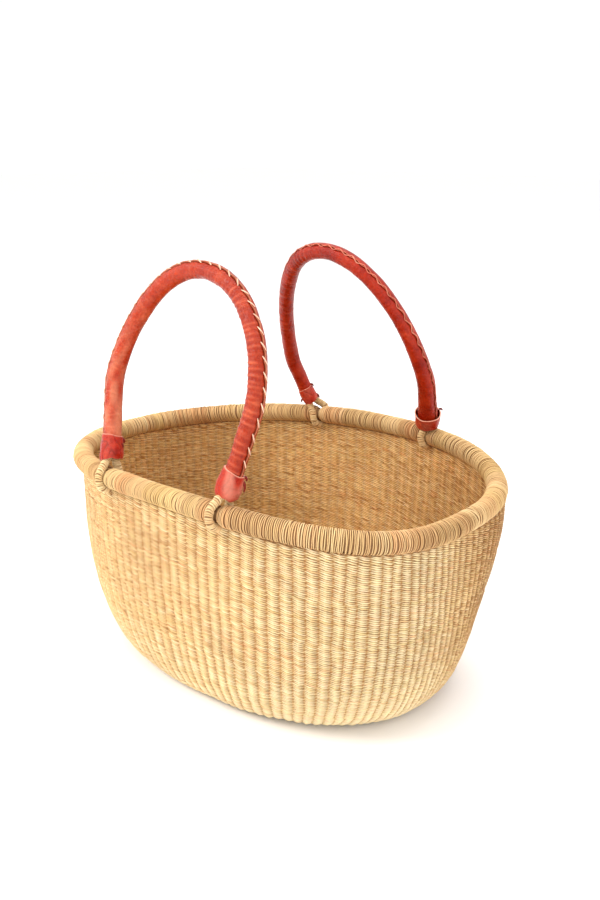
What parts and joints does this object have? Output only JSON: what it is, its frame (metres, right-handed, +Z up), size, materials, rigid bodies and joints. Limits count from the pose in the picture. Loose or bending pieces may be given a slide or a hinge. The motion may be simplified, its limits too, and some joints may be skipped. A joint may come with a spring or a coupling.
{
  "type": "market basket",
  "caption": "Oval woven grass market basket with a grass-wrapped rim and two swinging leather-covered arch handles hung on grass loops.",
  "frame": {"origin": "middle of the flat base, on the surface the basket stands on", "axes": "+X along the basket's length to the end that hangs lowest, -Y the long side with the front handle, +Z up"},
  "size_m": [0.4789, 0.3532, 0.4373],
  "materials": {
    "woven_grass": "matte",
    "rim_grass": "matte",
    "strand_grass": "matte",
    "core_grass": "matte",
    "front_leather": "satin",
    "rear_leather": "satin",
    "cuff_leather": "satin",
    "lace_leather": "satin"
  },
  "bodies": {
    "basket": {"woven_body": "woven_grass", "rim_core": "core_grass", "rim_wrap_front": "rim_grass", "rim_wrap_right": "rim_grass", "rim_wrap_rear": "rim_grass", "rim_wrap_left": "rim_grass"},
    "front_handle": {"front_handle_core": "core_grass", "front_handle_sleeve": "front_leather", "front_handle_lacing": "lace_leather", "front_left_loop_core": "core_grass", "front_left_loop_wrap": "strand_grass", "front_left_cuff": "cuff_leather", "front_right_loop_core": "core_grass", "front_right_loop_wrap": "strand_grass", "front_right_cuff": "cuff_leather"},
    "rear_handle": {"rear_handle_core": "core_grass", "rear_handle_sleeve": "rear_leather", "rear_handle_lacing": "lace_leather", "rear_left_loop_core": "core_grass", "rear_left_loop_wrap": "strand_grass", "rear_left_cuff": "cuff_leather", "rear_right_loop_core": "core_grass", "rear_right_loop_wrap": "strand_grass", "rear_right_cuff": "cuff_leather"}
  },
  "joints": [
    {"name": "front_handle_swing", "type": "hinge", "parent": "basket", "child": "front_handle", "pos_m": [0, -0.15987, 0.22392], "axis": [-1, 0.0058, -0.0053], "range_deg": [-115, 28]},
    {"name": "rear_handle_swing", "type": "hinge", "parent": "basket", "child": "rear_handle", "pos_m": [0, 0.15987, 0.22392], "axis": [0.9996, 0.0058, 0.028], "range_deg": [-120, 20]}
  ]
}
